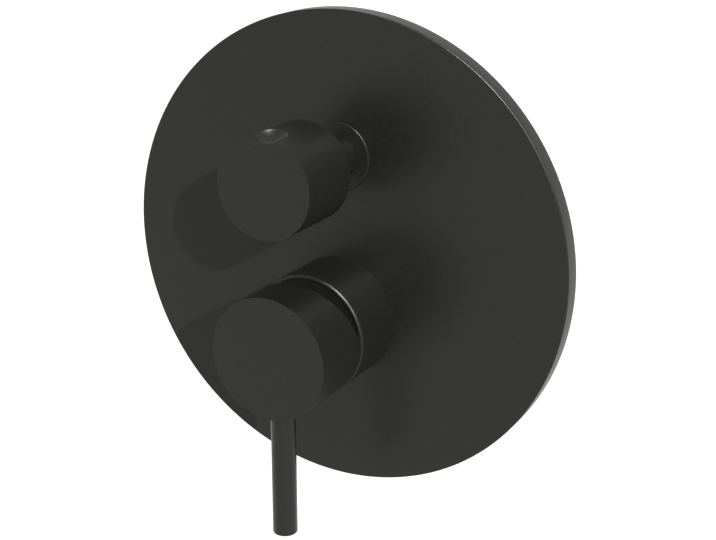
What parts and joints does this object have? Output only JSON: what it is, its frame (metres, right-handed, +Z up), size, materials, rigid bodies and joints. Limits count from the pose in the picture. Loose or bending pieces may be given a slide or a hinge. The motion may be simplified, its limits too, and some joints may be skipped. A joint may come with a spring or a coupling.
{
  "type": "concealed shower mixer",
  "caption": "Matt black concealed shower mixer: round wall plate, tipping and turning pin lever, diverter knob with finger scoop, brass valve body behind the wall.",
  "frame": {"origin": "centre of the wall plate's rim, on the plane of the finished wall", "axes": "+Y into the wall, +Z up, +X to the right for a person facing the plate"},
  "size_m": [0.185, 0.0976, 0.191],
  "materials": {
    "black_coat": "matt black coating on brass",
    "brass_cast": "shot-blasted casting",
    "brass_turned": "turned",
    "steel": "plain stainless",
    "ceramic": "lapped alumina",
    "grey_plastic": "moulded acetal",
    "dark_plastic": "moulded glass-filled plastic",
    "rubber": "moulded rubber",
    "foam": "closed-cell foam cord"
  },
  "bodies": {
    "valve": {"face_plate": "black_coat", "plate_seal": "foam", "lever_sleeve": "black_coat", "sleeve_seal": "rubber", "stem_sleeve": "black_coat", "diverter_collar": "black_coat", "collar_seal": "rubber", "valve_body": "brass_cast", "cartridge_nut": "brass_turned", "cartridge_housing": "dark_plastic", "fixed_disc": "ceramic", "cartridge_base": "grey_plastic", "port_gasket": "rubber", "diverter_bonnet": "brass_turned", "bonnet_seal": "rubber", "diverter_fixed_disc": "ceramic", "diverter_gasket": "rubber", "hot_socket": "brass_turned", "cold_socket": "brass_turned", "upper_socket": "brass_turned", "lower_socket": "brass_turned"},
    "rotor": {"cartridge_rotor": "grey_plastic", "spindle_pin": "steel"},
    "lever": {"lever_handle": "black_coat", "lever_pin": "black_coat", "handle_grub_screw": "steel", "lever_spindle": "brass_turned"},
    "disc_slider": {"disc_carrier": "grey_plastic", "moving_disc": "ceramic"},
    "diverter": {"diverter_knob": "black_coat", "knob_grub_screw": "steel", "diverter_spindle": "brass_turned", "spindle_seal": "rubber", "spindle_clip": "steel", "diverter_moving_disc": "ceramic"}
  },
  "joints": [
    {"name": "lever_turn", "type": "hinge", "parent": "valve", "child": "rotor", "pos_m": [0, -0.0275, -0.0251], "axis": [0, 1, 0], "range_deg": [-50, 50]},
    {"name": "lever_tilt", "type": "hinge", "parent": "rotor", "child": "lever", "pos_m": [0, -0.0275, -0.0251], "axis": [-1, 0, 0], "range_deg": [0, 20]},
    {"name": "disc_slide", "type": "slide", "parent": "rotor", "child": "disc_slider", "axis": [0, 0, -1], "range_m": [0, 0.0048]},
    {"name": "diverter_turn", "type": "hinge", "parent": "valve", "child": "diverter", "pos_m": [0, -0.0275, 0.038], "axis": [0, 1, 0], "range_deg": [0, 180]}
  ],
  "couplings": [
    {"joint": "disc_slide", "follows": "lever_tilt", "m_per_rad": 0.01353}
  ]
}
